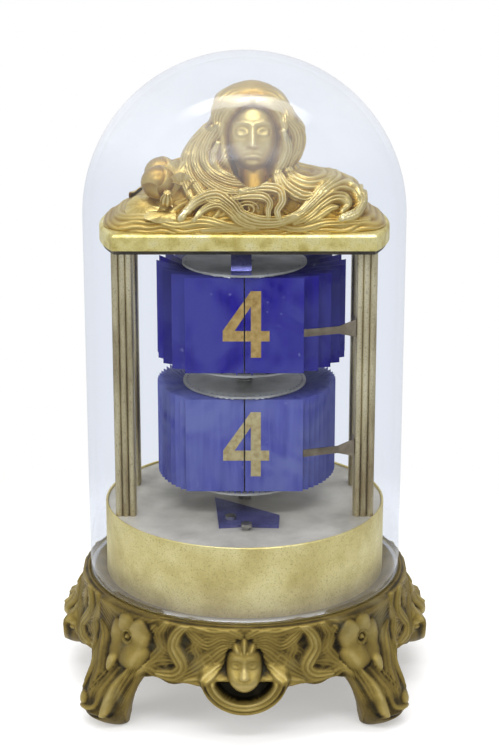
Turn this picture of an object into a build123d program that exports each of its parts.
"""Leaf clock under a glass dome.

A cast base on four scroll feet carries a spring movement in a brass drum. Four reeded columns hold a gilt
cornice with a bust above two stacked number drums: hours above, minutes below. Each drum turns hinged leaves
that flip over one at a time past a spring finger. Millimetres, +Z up, origin on the floor under the clock's
axis, front at -Y.
"""

import math
import os

from build123d import *

os.makedirs("parts", exist_ok=True)

# Fits: radial gap of a turning shaft, radial gap of a piece fixed on its shaft, flat gap between two bodies
shaft_gap = 0.05
press_gap = 0.02
seat_gap = 0.05
hole_gap = 0.2

# Base casting
base_height = 34.0
deck_thickness = 3.0
key_room = 2.0
lip_wall = 1.4
lip_height = 1.0
apron_flare = 4.0
apron_depth = 17.5
apron_wall = 3.0
waist_proud = 0.4
lobe_proud = 3.0
lobe_depth = 9.0
lobe_radius = 11.5
lobe_drop = 15.5
foot_proud = 2.0
foot_radius = 8.3
foot_widest = 5.5
foot_pad_radius = 5.5
foot_neck_radius = 6.0
foot_shoulder_radius = 7.0
foot_shoulder_drop = 17.0
foot_top_drop = 9.0

# Glass dome
dome_wall = 2.0
dome_side_room = 3.1
dome_top_room = 6.3
dome_lip_gap = 0.5

# Movement drum and its plates
case_wall = 0.8
case_rim_gap = 0.27
case_shoulder_wall = 1.6
case_flange = 6.0
base_screw_inset = 4.0
base_screw_angles = (30, 150, 270)
case_flange_thickness = 1.5
case_bead = 0.35
top_plate_thickness = 1.2
top_plate_sink = 0.6
cover_thickness = 0.8
under_plate_room = 1.7
plate_side_gap = 2.4
movement_plate_thickness = 1.2
pillar_radius = 2.0
pillar_inset = 4.0
pillar_angles = (100, 215, 295)

# Frame above the drum
column_width = 6.2
column_depth = 6.0
column_y = 13.4
reed_radius = 1.0
frame_room = 6.4
frame_plate_thickness = 1.2
frame_plate_inset = 0.8
cornice_proud = 0.2
cornice_half_depth = 20.0
cornice_thickness = 4.8
cornice_rounding = 1.2
figure_height = 41.6
figure_bank_height = 4.0
figure_screw_x = 14.0
bush_radius = 3.2
bush_flange = 4.4

# Fasteners
screw_radius = 0.9
screw_head_radius = 1.7
screw_head_height = 1.0
screw_engagement = 4.0

# Number drums and their leaves
disc_margin = 1.1
disc_thickness = 0.6
hinge_radius = 17.6
leaf_height = 29.0
leaf_outer_edge = 17.5
leaf_split = 0.4
leaf_thickness = 0.12
leaf_end_gap = 0.5
leaf_sweep_gap = 0.23
ear_width = 0.4
ear_hole_radius = 0.35
minute_drum_lift = 7.6
drum_gap = 6.0
boss_wall = 0.6
hub_wall = 1.4
boss_proud = 0.4
minute_leaf_count = 60
hour_leaf_count = 24
turned_fan = 7.0
minute_waiting_fan = 32.0
hour_waiting_fan = 112.0
back_fan = 84.0

# Arbors of the movement
hour_arbor_radius = 1.4
minute_pipe_radius = 2.0
pipe_above_drum = 0.6
small_arbor_radius = 0.6
pivot_depth = 0.8
wheel_thickness = 0.8
pinion_thickness = 1.4
pinion_overlap = 0.3
arbor_end = 0.3
level_gap = 0.6
third_wheel_gap = 0.8
escape_wheel_gap = 1.6
top_room = 3.6

# Wheel train: tooth counts and modules
cannon_teeth = 12
motion_wheel_teeth = 36
motion_module = 0.5
motion_pinion_teeth = 10
hour_wheel_teeth = 40
hour_module = 0.48
centre_pinion_teeth = 12
great_wheel_teeth = 60
great_module = 0.5
centre_wheel_teeth = 80
third_pinion_teeth = 10
third_wheel_teeth = 75
escape_pinion_teeth = 10
train_module = 0.35
addendum = 0.6
dedendum = 0.9
pressure_angle = math.radians(20)
tooth_thinning = 0.06
flank_level = 0.3
wheel_rim = 1.6
wheel_hub = 3.0
centre_hub = 4.0
wheel_arms = 4
train_arms = 5

# Barrel, escapement and outside controls
barrel_radius = 13.0
barrel_wall = 0.8
barrel_height = 6.0
spring_inner_radius = 5.0
spring_gap = 0.4
ratchet_teeth = 24
ratchet_radius = 7.0
ratchet_tooth = 0.8
click_clearance = 6.5
click_half_width = 1.6
click_nose_start = 2.6
click_nose_end = 4.6
winding_arbor_radius = 2.0
key_drop = 12.0
key_hub_radius = 4.0
key_span = 20.0
key_wing_height = 7.0
key_thickness = 1.6
knob_radius = 4.0
knob_height = 6.0
knob_drop = 4.5
knurl_count = 24
knurl_radius = 0.25
escape_teeth = 15
escape_radius = 6.0
escape_tooth_depth = 1.6
escape_tooth_back = 0.12
escape_tooth_root = 0.8
pallet_gap = 0.35
pallet_reach = 3.2
pallet_spread = 3.5
pallet_bar = 2.4
pallet_width = 1.0
lever_tail_width = 1.4
roller_radius = 1.6
third_angle = 45.0
escape_angle = -60.0
balance_x = 22.0
balance_y = -20.0
balance_radius = 8.4
balance_rim = 1.2
balance_hub = 2.0
balance_arms = 2
hairspring_radius = 4.5
hairspring_height = 0.3
hairspring_gap = 0.5
regulator_boss = 2.6
regulator_width = 1.8
regulator_reach = 9.0
regulator_drop = 5.0
regulator_swing = 15.0

# Levers seen round the drums
finger_thickness = 0.4
finger_root_height = 6.0
finger_tip_height = 2.2
finger_overlap = 0.1
finger_stand_off = 3.9
finger_rise = 14.6
finger_root_back = 1.4
finger_root_front = 2.8
finger_screw_shift = 1.0
finger_screw_head_radius = 1.3
finger_screw_head_height = 0.5
finger_bend_x = 5.0
finger_bend_y = 4.6
finger_trim = 1.0
lever_thickness = 1.0
lever_pivot = (-4.2, -20.5)
lever_stop = (0.6, -26.9)
stop_lever_outline = (
    (-7.6, -26.2),
    (-9.2, -2.4),
    (10.6, -17.6),
    (10.2, -26.0),
    (4.4, -25.6),
    (0.6, -24.9),
)
brake_thickness = 0.5
brake_width = 6.0
brake_gap = 0.4
brake_x = -0.9
brake_overhang = 1.0
brake_toe = 3.0
brake_slope = 4.0
brake_seat = 5.0

# Widths worked out from the sizes above: the leaves' sweep places the columns, which set the drum and dome
disc_radius = hinge_radius + disc_margin
boss_radius = minute_pipe_radius + boss_wall
hub_radius = minute_pipe_radius + hub_wall
front_hinge_x = hinge_radius * math.sin(math.pi / minute_leaf_count)
leaf_sweep = hinge_radius + leaf_outer_edge - front_hinge_x
column_inner_y = column_y - column_depth / 2
column_inner_x = math.sqrt((leaf_sweep + leaf_sweep_gap) ** 2 - column_inner_y**2)
column_x = column_inner_x + column_width / 2
column_corner = (column_x + column_width / 2, column_y + column_depth / 2 - reed_radius)
case_bore = math.hypot(*column_corner) + case_rim_gap
case_radius = case_bore + case_wall
shoulder_bore = case_radius - case_shoulder_wall
movement_plate_radius = shoulder_bore - plate_side_gap
pillar_circle = movement_plate_radius - pillar_inset
cornice_radius = case_radius + cornice_proud
frame_plate_radius = cornice_radius - frame_plate_inset
frame_plate_half_depth = cornice_half_depth - frame_plate_inset
dome_bore = case_radius + dome_side_room
dome_radius = dome_bore + dome_wall
lip_bore = dome_radius + dome_lip_gap
base_top_radius = lip_bore + lip_wall
apron_radius = base_top_radius + apron_flare
lobe_reach = apron_radius + lobe_proud
foot_offset = (apron_radius + foot_proud) / math.sqrt(2)
finger_tip = (leaf_outer_edge - finger_overlap, -hinge_radius - finger_stand_off)

# Heights and places worked out from the sizes above
apron_bottom = base_height - apron_depth
lobe_height = base_height - lobe_drop
foot_shoulder = base_height - foot_shoulder_drop
foot_top = base_height - foot_top_drop
great_level = 3 * level_gap + 2 * wheel_thickness
movement_depth = great_level + 2 * wheel_thickness + barrel_height + level_gap + top_room
flange_top = base_height + case_flange_thickness
cover_top = flange_top + cover_thickness
lower_plate_under = cover_top + under_plate_room
lower_plate_top = lower_plate_under + movement_plate_thickness
plate_under = lower_plate_top + movement_depth
plate_top = plate_under + top_plate_thickness
case_top = plate_top + top_plate_sink
drum_height = leaf_height + 2 * (leaf_end_gap + disc_thickness)
minute_bottom = plate_top + minute_drum_lift
hour_bottom = minute_bottom + drum_height + drum_gap
frame_under = hour_bottom + drum_height + frame_room
frame_top = frame_under + frame_plate_thickness
cornice_top = frame_top + cornice_thickness
dome_foot = base_height + seat_gap
dome_top = cornice_top + figure_height + dome_top_room + dome_wall
dome_shoulder = dome_top - dome_radius
pipe_top = minute_bottom + drum_height + pipe_above_drum
pipe_bore = hour_arbor_radius + shaft_gap
motion_distance = motion_module * (cannon_teeth + motion_wheel_teeth) / 2
great_distance = great_module * (centre_pinion_teeth + great_wheel_teeth) / 2
deck_opening = great_distance + key_span / 2 + key_room
third_distance = train_module * (centre_wheel_teeth + third_pinion_teeth) / 2
escape_distance = train_module * (third_wheel_teeth + escape_pinion_teeth) / 2
motion_at = (0.0, -motion_distance)
barrel_at = (-great_distance, 0.0)
third_at = (
    third_distance * math.cos(math.radians(third_angle)),
    third_distance * math.sin(math.radians(third_angle)),
)
escape_at = (
    third_at[0] + escape_distance * math.cos(math.radians(escape_angle)),
    third_at[1] + escape_distance * math.sin(math.radians(escape_angle)),
)
balance_at = (balance_x, balance_y)
toward = math.atan2(balance_at[1] - escape_at[1], balance_at[0] - escape_at[0])
lever_centre = (
    escape_at[0] + (escape_radius + pallet_reach) * math.cos(toward),
    escape_at[1] + (escape_radius + pallet_reach) * math.sin(toward),
)

# Levels of the wheels above the lower plate
hour_wheel_z = lower_plate_top + level_gap
cannon_z = hour_wheel_z + wheel_thickness + level_gap
great_wheel_z = lower_plate_top + great_level
barrel_z = great_wheel_z + wheel_thickness
third_wheel_z = great_wheel_z + pinion_thickness + third_wheel_gap
escape_wheel_z = third_wheel_z + wheel_thickness + escape_wheel_gap
centre_wheel_z = barrel_z + barrel_height + level_gap


def save(piece, label):
    """Names a finished piece and writes it to its own file."""
    piece.part.label = label
    export_step(piece.part, f"parts/{label}.step")


def add_disc(radius, bottom, top, at=(0, 0), bore=0.0):
    """Adds a round disc or sleeve between two heights to the part being built."""
    with BuildSketch(Plane.XY.offset(bottom)) as ring:
        with Locations(at):
            Circle(radius)
            if bore:
                Circle(bore, mode=Mode.SUBTRACT)
    extrude(ring.sketch, amount=top - bottom)


def cut_disc(radius, bottom, top, *places):
    """Cuts round holes between two heights through the part being built."""
    with BuildSketch(Plane.XY.offset(bottom)) as holes:
        with Locations(*places):
            Circle(radius)
    extrude(holes.sketch, amount=top - bottom, mode=Mode.SUBTRACT)


def around(radius, angles):
    """Points on a circle about the clock's axis."""
    return [
        (radius * math.cos(math.radians(a)), radius * math.sin(math.radians(a)))
        for a in angles
    ]


def involute(angle):
    """The involute function of a pressure angle."""
    return math.tan(angle) - angle


def tooth_outline(teeth, module, first_tooth):
    """Outline points of a wheel with involute teeth, the centre of one tooth at the angle first_tooth."""
    pitch_radius = module * teeth / 2
    base_radius = pitch_radius * math.cos(pressure_angle)
    levels = [-dedendum, -flank_level, 0.0, flank_level, addendum]
    points = []
    for tooth in range(teeth):
        centre = math.radians(first_tooth) + 2 * math.pi * tooth / teeth
        flank = []
        for level in levels:
            radius = pitch_radius + level * module
            working = math.acos(base_radius / max(radius, base_radius))
            half = math.pi / (2 * teeth) + involute(pressure_angle) - involute(working)
            half -= tooth_thinning / (2 * pitch_radius)
            flank.append((radius, half))
        for radius, half in flank:
            points.append((radius, centre - half))
        for radius, half in reversed(flank):
            points.append((radius, centre + half))
    return points


def add_wheel(teeth, module, first_tooth, at, bottom, thickness, bore=0.0):
    """Adds a toothed wheel, with a round bore if it has one, to the part being built."""
    outline = [
        (at[0] + r * math.cos(a), at[1] + r * math.sin(a))
        for r, a in tooth_outline(teeth, module, first_tooth)
    ]
    with BuildSketch(Plane.XY.offset(bottom)) as blank:
        with BuildLine():
            Polyline(*outline, close=True)
        make_face()
        if bore:
            with Locations(at):
                Circle(bore, mode=Mode.SUBTRACT)
    extrude(blank.sketch, amount=thickness)


def window_radius(teeth, module):
    """Outer radius of a wheel's windows, one rim width inside the roots of its teeth."""
    return module * (teeth / 2 - dedendum) - wheel_rim


def cross_out(at, inner, outer, bottom, top, arms):
    """Cuts the windows between the arms of a wheel."""
    with BuildSketch(Plane.XY.offset(bottom)) as windows:
        with Locations(at):
            Circle(outer)
            Circle(inner, mode=Mode.SUBTRACT)
            with PolarLocations(0, arms):
                Rectangle(
                    2 * outer, inner, align=(Align.MIN, Align.CENTER), mode=Mode.SUBTRACT
                )
    extrude(windows.sketch, amount=top - bottom, mode=Mode.SUBTRACT)


def meshing_tooth(teeth, partner_teeth, first_tooth, direction):
    """Angle of a tooth of the partner that lies in step with a wheel. The partner stands at direction."""
    step = (direction - first_tooth) * teeth / 360
    return direction + 180 - (0.5 - step) * 360 / partner_teeth


def add_screw(at, seat, up, length=screw_engagement):
    """Adds one cheese-head screw: its head bears on seat and its shank runs up or down from there."""
    way = 1 if up else -1
    add_disc(screw_head_radius, *sorted((seat, seat - way * screw_head_height)), at)
    add_disc(screw_radius, *sorted((seat, seat + way * length)), at)


# Base: one casting with a deck, a flared apron, four pendant lobes and four scroll feet
with BuildPart() as base_casting:
    waist = base_top_radius + waist_proud
    waist_height = (base_height + apron_bottom) / 2
    with BuildSketch(Plane.XZ):
        with BuildLine():
            Polyline(
                (deck_opening, base_height),
                (lip_bore, base_height),
                (lip_bore, base_height + lip_height),
                (base_top_radius, base_height + lip_height),
            )
            ThreePointArc(
                (base_top_radius, base_height + lip_height),
                (waist, waist_height),
                (apron_radius, apron_bottom),
            )
            Line((apron_radius, apron_bottom), (apron_radius - apron_wall, apron_bottom))
            ThreePointArc(
                (apron_radius - apron_wall, apron_bottom),
                (waist - apron_wall, waist_height),
                (base_top_radius - apron_wall, base_height - deck_thickness),
            )
            Polyline(
                (base_top_radius - apron_wall, base_height - deck_thickness),
                (deck_opening, base_height - deck_thickness),
                (deck_opening, base_height),
            )
        make_face()
    revolve(axis=Axis.Z)
    for side in range(4):
        outward = Vector(0, -1, 0).rotate(Axis.Z, 90 * side)
        across = Vector(1, 0, 0).rotate(Axis.Z, 90 * side)
        with BuildSketch(Plane(outward * (lobe_reach - lobe_depth), across, outward)):
            with Locations((0, lobe_height)):
                Circle(lobe_radius)
        extrude(amount=lobe_depth)
    for corner_x in (-foot_offset, foot_offset):
        for corner_y in (-foot_offset, foot_offset):
            foot_axis = Axis((corner_x, corner_y, 0), (0, 0, 1))
            with BuildSketch(Plane((corner_x, corner_y, 0), (1, 0, 0), (0, -1, 0))):
                with BuildLine():
                    Line((0, 0), (foot_pad_radius, 0))
                    ThreePointArc(
                        (foot_pad_radius, 0),
                        (foot_radius, foot_widest),
                        (foot_neck_radius, 2 * foot_widest),
                    )
                    Polyline(
                        (foot_neck_radius, 2 * foot_widest),
                        (foot_shoulder_radius, foot_shoulder),
                        (0, foot_top),
                        (0, 0),
                    )
                make_face()
            revolve(axis=foot_axis)
    base_screw_places = around(case_radius - base_screw_inset, base_screw_angles)
    cut_disc(
        screw_radius + hole_gap, base_height - deck_thickness, base_height, *base_screw_places
    )
save(base_casting, "base_casting")

# Movement drum: spun brass band with an inner shoulder for the top plate and a flange on the base
with BuildPart() as case_drum:
    with BuildSketch(Plane.XZ):
        with BuildLine():
            Polyline(
                (case_radius - case_flange, base_height),
                (case_radius, base_height),
                (case_radius, case_top),
                (case_bore, case_top),
                (case_bore, plate_under),
                (shoulder_bore, plate_under),
                (shoulder_bore, flange_top),
                (case_radius - case_flange, flange_top),
                close=True,
            )
        make_face()
    revolve(axis=Axis.Z)
    fillet(case_drum.edges().group_by(Axis.Z)[-1], case_bead)
    cut_disc(screw_radius + press_gap, base_height, flange_top, *base_screw_places)
save(case_drum, "case_drum")

with BuildPart() as base_screws:
    for place in base_screw_places:
        add_screw(
            place,
            base_height - deck_thickness,
            up=True,
            length=deck_thickness + case_flange_thickness,
        )
save(base_screws, "base_screws")

# Bottom cover: thin sheet on the flange, pierced for the key, the setting knob and the regulator
regulator_sweep = math.radians(regulator_swing) + 2 * screw_radius / regulator_reach
with BuildPart() as bottom_cover:
    add_disc(shoulder_bore - hole_gap, flange_top, cover_top)
    cut_disc(winding_arbor_radius + hole_gap, flange_top, cover_top, barrel_at)
    cut_disc(small_arbor_radius + hole_gap, flange_top, cover_top, motion_at)
    with BuildSketch(Plane.XY.offset(flange_top)):
        with BuildLine():
            CenterArc(
                balance_at,
                regulator_reach,
                90 - math.degrees(regulator_sweep),
                2 * math.degrees(regulator_sweep),
            )
        trace(line_width=2 * (screw_radius + hole_gap))
    extrude(amount=cover_thickness, mode=Mode.SUBTRACT)
save(bottom_cover, "bottom_cover")

# Places shared by the frame's pieces
column_places = [(x, y) for y in (-column_y, column_y) for x in (-column_x, column_x)]
column_names = ["front_left", "front_right", "rear_left", "rear_right"]
pillar_places = around(pillar_circle, pillar_angles)

# Top plate of the movement, the floor under the lower number drum
with BuildPart() as top_plate:
    add_disc(case_bore - press_gap, plate_under, plate_top)
    cut_disc(minute_pipe_radius + shaft_gap, plate_under, plate_top, (0, 0))
    cut_disc(screw_radius + hole_gap, plate_under, plate_top, *column_places)
    cut_disc(screw_radius + press_gap, plate_under, plate_under + pivot_depth, *pillar_places)
    cut_disc(screw_radius + press_gap, plate_under, plate_top, lever_pivot, lever_stop)
    upper_pivots = [barrel_at, third_at, escape_at, lever_centre, balance_at]
    cut_disc(small_arbor_radius + shaft_gap, plate_under, plate_under + pivot_depth, *upper_pivots)
save(top_plate, "top_plate")

# Lower plate of the movement, hung from the top plate on three pillars
with BuildPart() as lower_plate:
    add_disc(movement_plate_radius, lower_plate_under, lower_plate_top)
    cut_disc(hour_arbor_radius + shaft_gap, lower_plate_under, lower_plate_top, (0, 0))
    cut_disc(winding_arbor_radius + shaft_gap, lower_plate_under, lower_plate_top, barrel_at)
    cut_disc(small_arbor_radius + shaft_gap, lower_plate_under, lower_plate_top, motion_at)
    lower_pivots = [third_at, escape_at, lever_centre, balance_at]
    cut_disc(
        small_arbor_radius + shaft_gap,
        lower_plate_top - pivot_depth,
        lower_plate_top,
        *lower_pivots,
    )
    cut_disc(screw_radius + hole_gap, lower_plate_under, lower_plate_top, *pillar_places)
save(lower_plate, "lower_plate")

# Pillars, riveted blind into the top plate and tapped at the lower end
with BuildPart() as plate_pillars:
    for place in pillar_places:
        add_disc(pillar_radius, lower_plate_top, plate_under, place)
        add_disc(screw_radius, plate_under, plate_under + pivot_depth, place)
    tapped_top = lower_plate_top + screw_engagement
    cut_disc(screw_radius + press_gap, lower_plate_top, tapped_top, *pillar_places)
save(plate_pillars, "plate_pillars")

with BuildPart() as pillar_screws:
    for place in pillar_places:
        add_screw(
            place,
            lower_plate_under,
            up=True,
            length=movement_plate_thickness + screw_engagement,
        )
save(pillar_screws, "pillar_screws")

# Columns: square brass bars with three reeds on the front and back faces, tapped at both ends
finger_heights = {"hour": hour_bottom + finger_rise, "minute": minute_bottom + finger_rise}
finger_screw_y = -column_y - finger_screw_shift
for column_name, (cx, cy) in zip(column_names, column_places):
    with BuildPart() as column:
        with BuildSketch(Plane.XY.offset(plate_top)):
            with Locations((cx, cy)):
                Rectangle(column_width, column_depth - 2 * reed_radius)
                with GridLocations(2 * reed_radius, column_depth - 2 * reed_radius, 3, 2):
                    Circle(reed_radius)
        extrude(amount=frame_under - plate_top)
        cut_disc(screw_radius + press_gap, plate_top, plate_top + screw_engagement, (cx, cy))
        cut_disc(screw_radius + press_gap, frame_under - screw_engagement, frame_under, (cx, cy))
        if column_name == "front_right":
            for finger_z in finger_heights.values():
                thread_start = (column_inner_x, finger_screw_y, finger_z)
                with BuildSketch(Plane(thread_start, (0, 1, 0), (-1, 0, 0))):
                    Circle(screw_radius + press_gap)
                extrude(amount=-screw_engagement, mode=Mode.SUBTRACT)
    save(column, f"{column_name}_column")

with BuildPart() as column_screws:
    for place in column_places:
        add_screw(place, plate_under, up=True, length=top_plate_thickness + screw_engagement)
        add_screw(place, frame_top, up=False, length=frame_plate_thickness + screw_engagement)
save(column_screws, "column_screws")


def add_truncated_disc(radius, half_depth, bottom, top):
    """Adds a disc cut straight across at the front and the back."""
    with BuildSketch(Plane.XY.offset(bottom)) as outline:
        Circle(radius)
        Rectangle(2 * radius, 2 * half_depth, mode=Mode.INTERSECT)
    extrude(outline.sketch, amount=top - bottom)


# Frame plate across the columns, the gilt cornice on it and the bust on top
figure_screw_places = [(-figure_screw_x, 0.0), (figure_screw_x, 0.0)]
with BuildPart() as frame_plate:
    add_truncated_disc(frame_plate_radius, frame_plate_half_depth, frame_under, frame_top)
    cut_disc(bush_radius + press_gap, frame_under, frame_top, (0, 0))
    cut_disc(screw_radius + hole_gap, frame_under, frame_top, *column_places)
    cut_disc(screw_radius + hole_gap, frame_under, frame_top, *figure_screw_places)
save(frame_plate, "frame_plate")

with BuildPart() as cornice:
    add_truncated_disc(cornice_radius, cornice_half_depth, frame_top, cornice_top)
    fillet(cornice.edges().group_by(Axis.Z)[-1], cornice_rounding)
    pocket_top = frame_top + screw_head_height + hole_gap
    cut_disc(screw_head_radius + hole_gap, frame_top, pocket_top, *column_places)
    cut_disc(bush_flange + hole_gap, frame_top, pocket_top, (0, 0))
    cut_disc(screw_radius + hole_gap, frame_top, cornice_top, *figure_screw_places)
save(cornice, "cornice")

# Bust on a bank of flowing hair that covers the cornice.
# Sections of the bust: share of height, half width, half depth, centre x and y
figure_sections = [
    (0.0, 33.0, 15.0, 1.0, 0.0),
    (0.18, 31.0, 14.0, 1.5, 0.0),
    (0.38, 22.0, 12.0, 3.0, 0.0),
    (0.60, 14.0, 10.5, 3.5, -1.0),
    (0.80, 12.5, 10.5, 4.0, -2.0),
    (0.94, 8.0, 7.5, 3.5, -1.5),
    (1.0, 3.0, 3.0, 3.0, -1.0),
]
with BuildPart() as figure_casting:
    bank_top = cornice_top + figure_bank_height
    add_truncated_disc(
        cornice_radius - cornice_rounding,
        cornice_half_depth - cornice_rounding,
        cornice_top,
        bank_top,
    )
    for share, half_width, half_depth, centre_x, centre_y in figure_sections:
        with BuildSketch(Plane.XY.offset(cornice_top + share * figure_height)):
            with Locations((centre_x, centre_y)):
                Ellipse(half_width, half_depth)
    loft()
    cut_disc(
        screw_radius + press_gap, cornice_top, cornice_top + screw_engagement, *figure_screw_places
    )
save(figure_casting, "figure_casting")

with BuildPart() as figure_screws:
    for place in figure_screw_places:
        add_screw(
            place,
            frame_under,
            up=True,
            length=frame_plate_thickness + cornice_thickness + screw_engagement,
        )
save(figure_screws, "figure_screws")

# Top bush of the hour arbor, pressed into the frame plate from above
with BuildPart() as top_bush:
    add_disc(bush_radius, frame_under, frame_top, bore=hour_arbor_radius + shaft_gap)
    add_disc(bush_flange, frame_top, frame_top + screw_head_height)
save(top_bush, "top_bush")

# Glass dome: a plain cylinder closed by a half sphere, standing on the base inside the lip
with BuildPart() as glass_dome:
    with BuildSketch(Plane.XZ):
        with BuildLine():
            Polyline(
                (dome_bore, dome_shoulder),
                (dome_bore, dome_foot),
                (dome_radius, dome_foot),
                (dome_radius, dome_shoulder),
            )
            CenterArc((0, dome_shoulder), dome_radius, 0, 90)
            Line((0, dome_top), (0, dome_top - dome_wall))
            CenterArc((0, dome_shoulder), dome_bore, 0, 90)
        make_face()
    revolve(axis=Axis.Z)
save(glass_dome, "glass_dome")


# Number drums: two pierced discs on a hub, with a leaf hinged at each pair of holes
def leaf_pose(index, count, side_fan):
    """Hinge point and direction of a leaf on the left side, counted from the front.

    The front leaf lies parallel to the front. Each leaf behind it opens a little more, until the last stands
    straight out at the back.
    """
    pitch = 360 / count
    first = pitch / 2
    theta = first + pitch * index
    share = (theta - first) / (180 - 2 * first)
    opening = first + side_fan * share + (back_fan - side_fan) * share**2
    return theta, theta + 90 - opening


def leaf_places(count, indices, side, side_fan):
    """Hinge points and directions of some leaves on one side: side is -1 for the left, 1 for the right."""
    places = []
    for index in indices:
        theta, heading = (math.radians(a) for a in leaf_pose(index, count, side_fan))
        hinge = (side * hinge_radius * math.sin(theta), -hinge_radius * math.cos(theta))
        along = (side * math.sin(heading), -math.cos(heading))
        places.append((hinge, along))
    return places


def add_leaves(places, count, drum_bottom):
    """Adds leaves with a small ear at each end of the hinge line."""
    hinge_x = hinge_radius * math.sin(math.pi / count)
    reach = leaf_outer_edge - hinge_x
    heel = hinge_x - leaf_split / 2
    leaf_bottom = drum_bottom + disc_thickness + leaf_end_gap
    for length, shift, bottom, top in (
        (reach + heel, (reach - heel) / 2, leaf_bottom, leaf_bottom + leaf_height),
        (ear_width, 0, drum_bottom, drum_bottom + drum_height),
    ):
        with BuildSketch(Plane.XY.offset(bottom)) as strips:
            for hinge, along in places:
                turn = math.degrees(math.atan2(along[1], along[0]))
                middle = (hinge[0] + shift * along[0], hinge[1] + shift * along[1])
                with Locations(Location((middle[0], middle[1], 0), (0, 0, turn))):
                    Rectangle(length, leaf_thickness)
        extrude(strips.sketch, amount=top - bottom)


def make_drum(name, drum_bottom, count, waiting_fan, shaft_radius, hub_bottom):
    """Makes the discs, hub and leaves of one number drum. The front right leaf is a piece of its own.

    The waiting leaves stand open by waiting_fan. The hub's bosses are riveted through the discs, and the lower
    boss reaches down to hub_bottom.
    """
    drum_top = drum_bottom + drum_height
    half = count // 2
    holes = leaf_places(count, range(half), -1, 0) + leaf_places(count, range(half), 1, 0)
    with BuildPart() as discs:
        for bottom in (drum_bottom, drum_top - disc_thickness):
            with BuildSketch(Plane.XY.offset(bottom)):
                Circle(disc_radius)
                Circle(boss_radius + press_gap, mode=Mode.SUBTRACT)
                with Locations(*[hinge for hinge, along in holes]):
                    Circle(ear_hole_radius, mode=Mode.SUBTRACT)
            extrude(amount=disc_thickness)
    save(discs, f"{name}_discs")
    with BuildPart() as hub:
        bore = shaft_radius + press_gap
        add_disc(boss_radius, hub_bottom, drum_top + boss_proud, bore=bore)
        add_disc(
            hub_radius, drum_bottom + disc_thickness, drum_top - disc_thickness, bore=bore
        )
    save(hub, f"{name}_hub")
    with BuildPart() as turned:
        add_leaves(leaf_places(count, range(half), -1, turned_fan), count, drum_bottom)
    save(turned, f"{name}_leaves_turned")
    with BuildPart() as waiting:
        add_leaves(leaf_places(count, range(1, half), 1, waiting_fan), count, drum_bottom)
    save(waiting, f"{name}_leaves_waiting")
    with BuildPart() as falling:
        add_leaves(leaf_places(count, [0], 1, waiting_fan), count, drum_bottom)
    save(falling, f"{name}_leaf_falling")


make_drum(
    "minute",
    minute_bottom,
    minute_leaf_count,
    minute_waiting_fan,
    minute_pipe_radius,
    minute_bottom - boss_proud,
)
make_drum(
    "hour",
    hour_bottom,
    hour_leaf_count,
    hour_waiting_fan,
    hour_arbor_radius,
    pipe_top + seat_gap,
)

with BuildPart() as hour_arbor:
    add_disc(hour_arbor_radius, lower_plate_under, frame_top)
save(hour_arbor, "hour_arbor")

# Motion work: minutes to hours through one wheel and pinion on the setting arbor
cannon_tooth = 0.0
motion_tooth = meshing_tooth(cannon_teeth, motion_wheel_teeth, cannon_tooth, -90)
motion_pinion_tooth = 0.0
hour_tooth = meshing_tooth(motion_pinion_teeth, hour_wheel_teeth, motion_pinion_tooth, 90)
pipe_seat = minute_pipe_radius + press_gap
arbor_seat = small_arbor_radius + press_gap

with BuildPart() as hour_wheel:
    add_wheel(
        hour_wheel_teeth,
        hour_module,
        hour_tooth,
        (0, 0),
        hour_wheel_z,
        wheel_thickness,
        hour_arbor_radius + press_gap,
    )
    hour_window = window_radius(hour_wheel_teeth, hour_module)
    hour_wheel_top = hour_wheel_z + wheel_thickness
    cross_out((0, 0), wheel_hub, hour_window, hour_wheel_z, hour_wheel_top, wheel_arms)
save(hour_wheel, "hour_wheel")

with BuildPart() as motion_wheel:
    add_wheel(
        motion_wheel_teeth,
        motion_module,
        motion_tooth,
        motion_at,
        cannon_z,
        wheel_thickness,
        arbor_seat,
    )
    motion_window = window_radius(motion_wheel_teeth, motion_module)
    cannon_top = cannon_z + wheel_thickness
    cross_out(motion_at, wheel_hub, motion_window, cannon_z, cannon_top, wheel_arms)
save(motion_wheel, "motion_wheel")

# Setting arbor, with the pinion that drives the hour wheel cut on it, and its knurled knob under the cover
knob_top = flange_top - knob_drop
with BuildPart() as setting_arbor:
    add_disc(
        small_arbor_radius, knob_top - knob_height / 2, cannon_top + arbor_end, motion_at
    )
    add_wheel(
        motion_pinion_teeth,
        hour_module,
        motion_pinion_tooth,
        motion_at,
        hour_wheel_z,
        wheel_thickness,
    )
save(setting_arbor, "setting_arbor")

with BuildPart() as setting_knob:
    add_disc(knob_radius, knob_top - knob_height, knob_top, motion_at)
    with BuildSketch(Plane.XY.offset(knob_top - knob_height)):
        with Locations(motion_at):
            with PolarLocations(knob_radius, knurl_count):
                Circle(knurl_radius)
    extrude(amount=knob_height, mode=Mode.SUBTRACT)
    cut_disc(arbor_seat, knob_top - knob_height / 2, knob_top, motion_at)
save(setting_knob, "setting_knob")

# Going train: great wheel and barrel, centre pinion and wheel, third wheel, escape wheel
centre_pinion_tooth = 0.0
great_tooth = meshing_tooth(centre_pinion_teeth, great_wheel_teeth, centre_pinion_tooth, 180)
centre_wheel_tooth = 0.0
third_pinion_tooth = meshing_tooth(
    centre_wheel_teeth, third_pinion_teeth, centre_wheel_tooth, third_angle
)
third_wheel_tooth = 0.0
escape_pinion_tooth = meshing_tooth(
    third_wheel_teeth, escape_pinion_teeth, third_wheel_tooth, escape_angle
)

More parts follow.
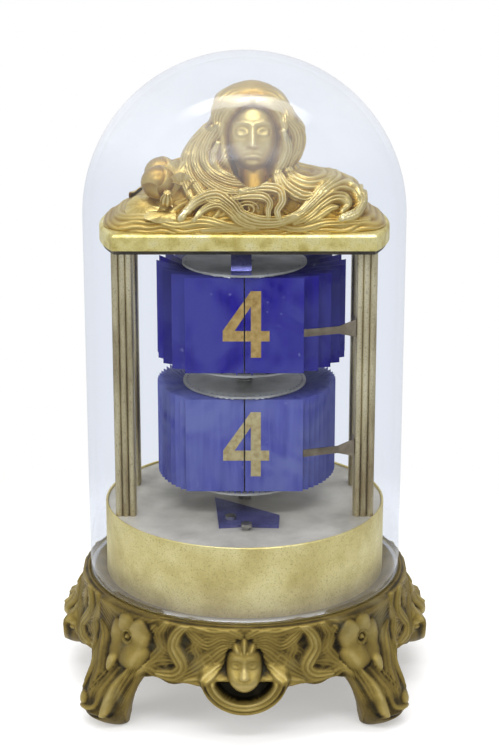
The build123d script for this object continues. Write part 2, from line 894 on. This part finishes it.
# Minute pipe over the hour arbor, with the cannon pinion and the centre pinion cut on it
with BuildPart() as minute_pipe:
    add_disc(minute_pipe_radius, cannon_z, pipe_top, bore=pipe_bore)
    add_wheel(
        cannon_teeth, motion_module, cannon_tooth, (0, 0), cannon_z, wheel_thickness, pipe_bore
    )
    add_wheel(
        centre_pinion_teeth,
        great_module,
        centre_pinion_tooth,
        (0, 0),
        great_wheel_z,
        pinion_thickness,
        pipe_bore,
    )
save(minute_pipe, "minute_pipe")

with BuildPart() as centre_wheel:
    add_wheel(
        centre_wheel_teeth,
        train_module,
        centre_wheel_tooth,
        (0, 0),
        centre_wheel_z,
        wheel_thickness,
        pipe_seat,
    )
    centre_window = window_radius(centre_wheel_teeth, train_module)
    centre_top = centre_wheel_z + wheel_thickness
    cross_out((0, 0), centre_hub, centre_window, centre_wheel_z, centre_top, train_arms)
save(centre_wheel, "centre_wheel")

# Barrel: the great wheel is its floor, with a drum above that holds the mainspring
barrel_top = barrel_z + barrel_height
with BuildPart() as barrel:
    add_wheel(
        great_wheel_teeth,
        great_module,
        great_tooth,
        barrel_at,
        great_wheel_z,
        wheel_thickness,
        winding_arbor_radius + shaft_gap,
    )
    add_disc(barrel_radius, barrel_z, barrel_top, barrel_at, barrel_radius - barrel_wall)
save(barrel, "barrel")

with BuildPart() as barrel_lid:
    lid_under = barrel_top - barrel_wall
    add_disc(
        barrel_radius - barrel_wall - press_gap,
        lid_under,
        barrel_top,
        barrel_at,
        winding_arbor_radius + shaft_gap,
    )
save(barrel_lid, "barrel_lid")

with BuildPart() as mainspring:
    add_disc(
        barrel_radius - barrel_wall - spring_gap,
        barrel_z + spring_gap,
        lid_under - spring_gap,
        barrel_at,
        spring_inner_radius,
    )
save(mainspring, "mainspring")

# Winding arbor with the spring's hub, the ratchet wheel under the lower plate and the wing key below
ratchet_z = lower_plate_under - seat_gap - wheel_thickness
key_top = flange_top - key_drop
with BuildPart() as winding_arbor:
    add_disc(winding_arbor_radius, key_top, barrel_top + arbor_end, barrel_at)
    add_disc(
        spring_inner_radius - spring_gap, barrel_z + spring_gap, lid_under - spring_gap, barrel_at
    )
    add_disc(small_arbor_radius, barrel_top, plate_under + pivot_depth, barrel_at)
save(winding_arbor, "winding_arbor")

with BuildPart() as ratchet_wheel:
    tooth_step = 2 * math.pi / ratchet_teeth
    ratchet_outline = []
    for tooth in range(ratchet_teeth):
        angle = tooth * tooth_step
        for radius in (ratchet_radius - ratchet_tooth, ratchet_radius):
            ratchet_outline.append(
                (
                    barrel_at[0] + radius * math.cos(angle),
                    barrel_at[1] + radius * math.sin(angle),
                )
            )
    with BuildSketch(Plane.XY.offset(ratchet_z)):
        with BuildLine():
            Polyline(*ratchet_outline, close=True)
        make_face()
        with Locations(barrel_at):
            Circle(winding_arbor_radius + press_gap, mode=Mode.SUBTRACT)
    extrude(amount=wheel_thickness)
save(ratchet_wheel, "ratchet_wheel")

with BuildPart() as winding_key:
    key_bottom = key_top - key_wing_height
    add_disc(key_hub_radius, key_bottom, key_top + key_wing_height / 2, barrel_at)
    wing_plane = Plane((barrel_at[0], barrel_at[1], key_bottom), (1, 0, 0), (0, -1, 0))
    with BuildSketch(wing_plane):
        with Locations((-key_span / 4, key_wing_height / 2), (key_span / 4, key_wing_height / 2)):
            Ellipse(key_span / 4, key_wing_height / 2)
    extrude(amount=key_thickness / 2, both=True)
    cut_disc(
        winding_arbor_radius + press_gap, key_top, key_top + key_wing_height / 2, barrel_at
    )
save(winding_key, "winding_key")

# Click: a pawl on the lower plate's underside whose nose stands just clear of the ratchet teeth
click_pivot = (barrel_at[0], barrel_at[1] + ratchet_radius + click_clearance)
click_nose = ratchet_radius + pallet_gap
with BuildPart() as click:
    with BuildSketch(Plane.XY.offset(ratchet_z)):
        with BuildLine():
            Polyline(
                (click_pivot[0] - click_half_width, click_pivot[1] + click_half_width / 2),
                (click_pivot[0] + click_half_width, click_pivot[1] + click_half_width),
                (barrel_at[0] + click_nose_end, barrel_at[1] + click_nose),
                (barrel_at[0] + click_nose_start, barrel_at[1] + click_nose),
                (click_pivot[0] - click_half_width, click_pivot[1] - click_half_width),
                close=True,
            )
        make_face()
        with Locations(click_pivot):
            Circle(screw_radius + shaft_gap, mode=Mode.SUBTRACT)
    extrude(amount=wheel_thickness)
save(click, "click")

# Third wheel between the plates, its pinion cut on its arbor
with BuildPart() as third_arbor:
    add_disc(
        small_arbor_radius, lower_plate_top - pivot_depth, plate_under + pivot_depth, third_at
    )
    add_wheel(
        third_pinion_teeth,
        train_module,
        third_pinion_tooth,
        third_at,
        centre_wheel_z - pinion_overlap,
        pinion_thickness,
    )
save(third_arbor, "third_arbor")

with BuildPart() as third_wheel:
    add_wheel(
        third_wheel_teeth,
        train_module,
        third_wheel_tooth,
        third_at,
        third_wheel_z,
        wheel_thickness,
        arbor_seat,
    )
    third_window = window_radius(third_wheel_teeth, train_module)
    third_top = third_wheel_z + wheel_thickness
    cross_out(third_at, wheel_hub, third_window, third_wheel_z, third_top, train_arms)
save(third_wheel, "third_wheel")

# Escape wheel with pointed teeth, its pinion in step with the third wheel
with BuildPart() as escape_arbor:
    add_disc(
        small_arbor_radius, lower_plate_top - pivot_depth, plate_under + pivot_depth, escape_at
    )
    add_wheel(
        escape_pinion_teeth,
        train_module,
        escape_pinion_tooth,
        escape_at,
        third_wheel_z - pinion_overlap,
        pinion_thickness,
    )
save(escape_arbor, "escape_arbor")

with BuildPart() as escape_wheel:
    escape_root = escape_radius - escape_tooth_depth
    escape_tooth = (
        (0.0, escape_radius),
        (escape_tooth_back, escape_root),
        (escape_tooth_root, escape_root),
    )
    escape_outline = []
    for tooth in range(escape_teeth):
        for share, radius in escape_tooth:
            angle = 2 * math.pi * (tooth + share) / escape_teeth
            escape_outline.append(
                (escape_at[0] + radius * math.cos(angle), escape_at[1] + radius * math.sin(angle))
            )
    with BuildSketch(Plane.XY.offset(escape_wheel_z)):
        with BuildLine():
            Polyline(*escape_outline, close=True)
        make_face()
        with Locations(escape_at):
            Circle(arbor_seat, mode=Mode.SUBTRACT)
    extrude(amount=wheel_thickness)
save(escape_wheel, "escape_wheel")

# Lever of the escapement, pivoted between the escape wheel and the balance
with BuildPart() as pallet_lever:
    lever_plane = Plane(
        (lever_centre[0], lever_centre[1], escape_wheel_z),
        (math.cos(toward), math.sin(toward), 0),
        (0, 0, 1),
    )
    span_to_balance = math.dist(lever_centre, balance_at)
    tail = span_to_balance - roller_radius - pallet_gap
    nearest = math.sqrt((escape_radius + 2 * pallet_gap) ** 2 - pallet_spread**2)
    pallet_length = escape_radius + pallet_reach - nearest
    with BuildSketch(lever_plane):
        Rectangle(pallet_bar, 2 * (pallet_spread + pallet_width))
        pallet_middle = pallet_spread + pallet_width / 2
        with Locations((0, pallet_middle), (0, -pallet_middle)):
            Rectangle(pallet_length, pallet_width, align=(Align.MAX, Align.CENTER))
        Rectangle(tail, lever_tail_width, align=(Align.MIN, Align.CENTER))
    extrude(amount=wheel_thickness)
    add_disc(
        small_arbor_radius, lower_plate_top - pivot_depth, plate_under + pivot_depth, lever_centre
    )
save(pallet_lever, "pallet_lever")

# Balance wheel, its staff and roller, and the hairspring above it
balance_z = escape_wheel_z + wheel_thickness + level_gap
with BuildPart() as balance_staff:
    add_disc(
        small_arbor_radius, lower_plate_top - pivot_depth, plate_under + pivot_depth, balance_at
    )
    add_disc(roller_radius, escape_wheel_z, escape_wheel_z + wheel_thickness, balance_at)
save(balance_staff, "balance_staff")

with BuildPart() as balance_wheel:
    add_disc(balance_radius, balance_z, balance_z + balance_rim, balance_at, arbor_seat)
    cross_out(
        balance_at,
        balance_hub,
        balance_radius - balance_rim,
        balance_z,
        balance_z + balance_rim,
        balance_arms,
    )
save(balance_wheel, "balance_wheel")

with BuildPart() as hairspring:
    hairspring_z = balance_z + balance_rim + hairspring_gap
    add_disc(
        hairspring_radius, hairspring_z, hairspring_z + hairspring_height, balance_at, arbor_seat
    )
save(hairspring, "hairspring")

# Regulator: an arm about the balance's axis under the lower plate, with a pin through the cover
with BuildPart() as regulator:
    with BuildSketch(Plane.XY.offset(ratchet_z)):
        with Locations(balance_at):
            Circle(regulator_boss)
            Rectangle(
                regulator_width,
                regulator_reach + regulator_width / 2,
                align=(Align.CENTER, Align.MIN),
            )
            Circle(screw_radius + shaft_gap, mode=Mode.SUBTRACT)
    extrude(amount=wheel_thickness)
    pin_at = (balance_at[0], balance_at[1] + regulator_reach)
    add_disc(screw_radius, flange_top - regulator_drop, ratchet_z, pin_at)
save(regulator, "regulator")

# Shoulder screws in the lower plate that the click and the regulator swing on
with BuildPart() as shoulder_screws:
    for place in (click_pivot, balance_at):
        add_disc(screw_radius, ratchet_z - seat_gap, lower_plate_under, place)
        add_disc(screw_head_radius, cover_top + seat_gap, ratchet_z - seat_gap, place)
save(shoulder_screws, "shoulder_screws")

# Spring fingers: sheet strips from the right front column that hold back the waiting leaves
bend_x = column_inner_x - finger_bend_x
for drum_name, finger_z in finger_heights.items():
    with BuildPart() as finger:
        with BuildSketch(Plane.XY.offset(finger_z - finger_root_height)):
            with BuildLine():
                Polyline(
                    (column_inner_x - finger_thickness / 2, -column_y + finger_root_back),
                    (column_inner_x - finger_thickness / 2, -column_y - finger_root_front),
                    (bend_x, -column_y - finger_bend_y),
                    finger_tip,
                )
            trace(line_width=finger_thickness)
        extrude(amount=2 * finger_root_height)
        with BuildSketch(Plane.XZ):
            with BuildLine():
                Polyline(
                    (column_inner_x + finger_trim, finger_z - finger_root_height / 2),
                    (column_inner_x + finger_trim, finger_z + finger_root_height / 2),
                    (bend_x, finger_z + finger_tip_height / 2),
                    (finger_tip[0] - finger_trim, finger_z + finger_tip_height / 2),
                    (finger_tip[0] - finger_trim, finger_z - finger_tip_height / 2),
                    (bend_x, finger_z - finger_tip_height / 2),
                    close=True,
                )
            make_face()
        extrude(amount=case_radius, both=True, mode=Mode.INTERSECT)
        screw_hole = (column_inner_x, finger_screw_y, finger_z)
        with BuildSketch(Plane(screw_hole, (0, 1, 0), (-1, 0, 0))):
            Circle(screw_radius + hole_gap)
        extrude(amount=finger_thickness, mode=Mode.SUBTRACT)
    save(finger, f"{drum_name}_finger")

with BuildPart() as finger_screws:
    for finger_z in finger_heights.values():
        head_seat = (column_inner_x - finger_thickness, finger_screw_y, finger_z)
        shank_plane = Plane(head_seat, (0, 1, 0), (-1, 0, 0))
        with BuildSketch(shank_plane):
            Circle(screw_radius)
        extrude(amount=-(finger_thickness + screw_engagement))
        with BuildSketch(shank_plane):
            Circle(finger_screw_head_radius)
        extrude(amount=finger_screw_head_height)
save(finger_screws, "finger_screws")

# Blued stop lever on the top plate, swung on one screw and stopped by the other
lever_bottom = plate_top + seat_gap
lever_top = lever_bottom + lever_thickness
with BuildPart() as stop_lever:
    with BuildSketch(Plane.XY.offset(lever_bottom)):
        with BuildLine():
            Polyline(*stop_lever_outline, close=True)
        make_face()
        with Locations(lever_pivot):
            Circle(screw_radius + shaft_gap, mode=Mode.SUBTRACT)
    extrude(amount=lever_thickness)
save(stop_lever, "stop_lever")

with BuildPart() as lever_screws:
    for place in (lever_pivot, lever_stop):
        add_disc(screw_radius, plate_under, lever_top + seat_gap, place)
        add_disc(
            screw_head_radius, lever_top + seat_gap, lever_top + seat_gap + screw_head_height, place
        )
save(lever_screws, "lever_screws")

# Blued brake spring hung from the frame plate over the upper drum's front edge
brake_high = frame_under - brake_thickness / 2
brake_low = hour_bottom + drum_height + brake_gap + brake_thickness / 2
brake_front = -disc_radius - brake_overhang
brake_foot = brake_front + brake_toe
brake_head = brake_foot + brake_slope
with BuildPart() as drum_brake:
    with BuildSketch(Plane.YZ.offset(brake_x)):
        with BuildLine():
            Polyline(
                (brake_head + brake_seat, brake_high),
                (brake_head, brake_high),
                (brake_foot, brake_low),
                (brake_front, brake_low),
            )
        trace(line_width=brake_thickness)
    extrude(amount=brake_width / 2, both=True)
save(drum_brake, "drum_brake")
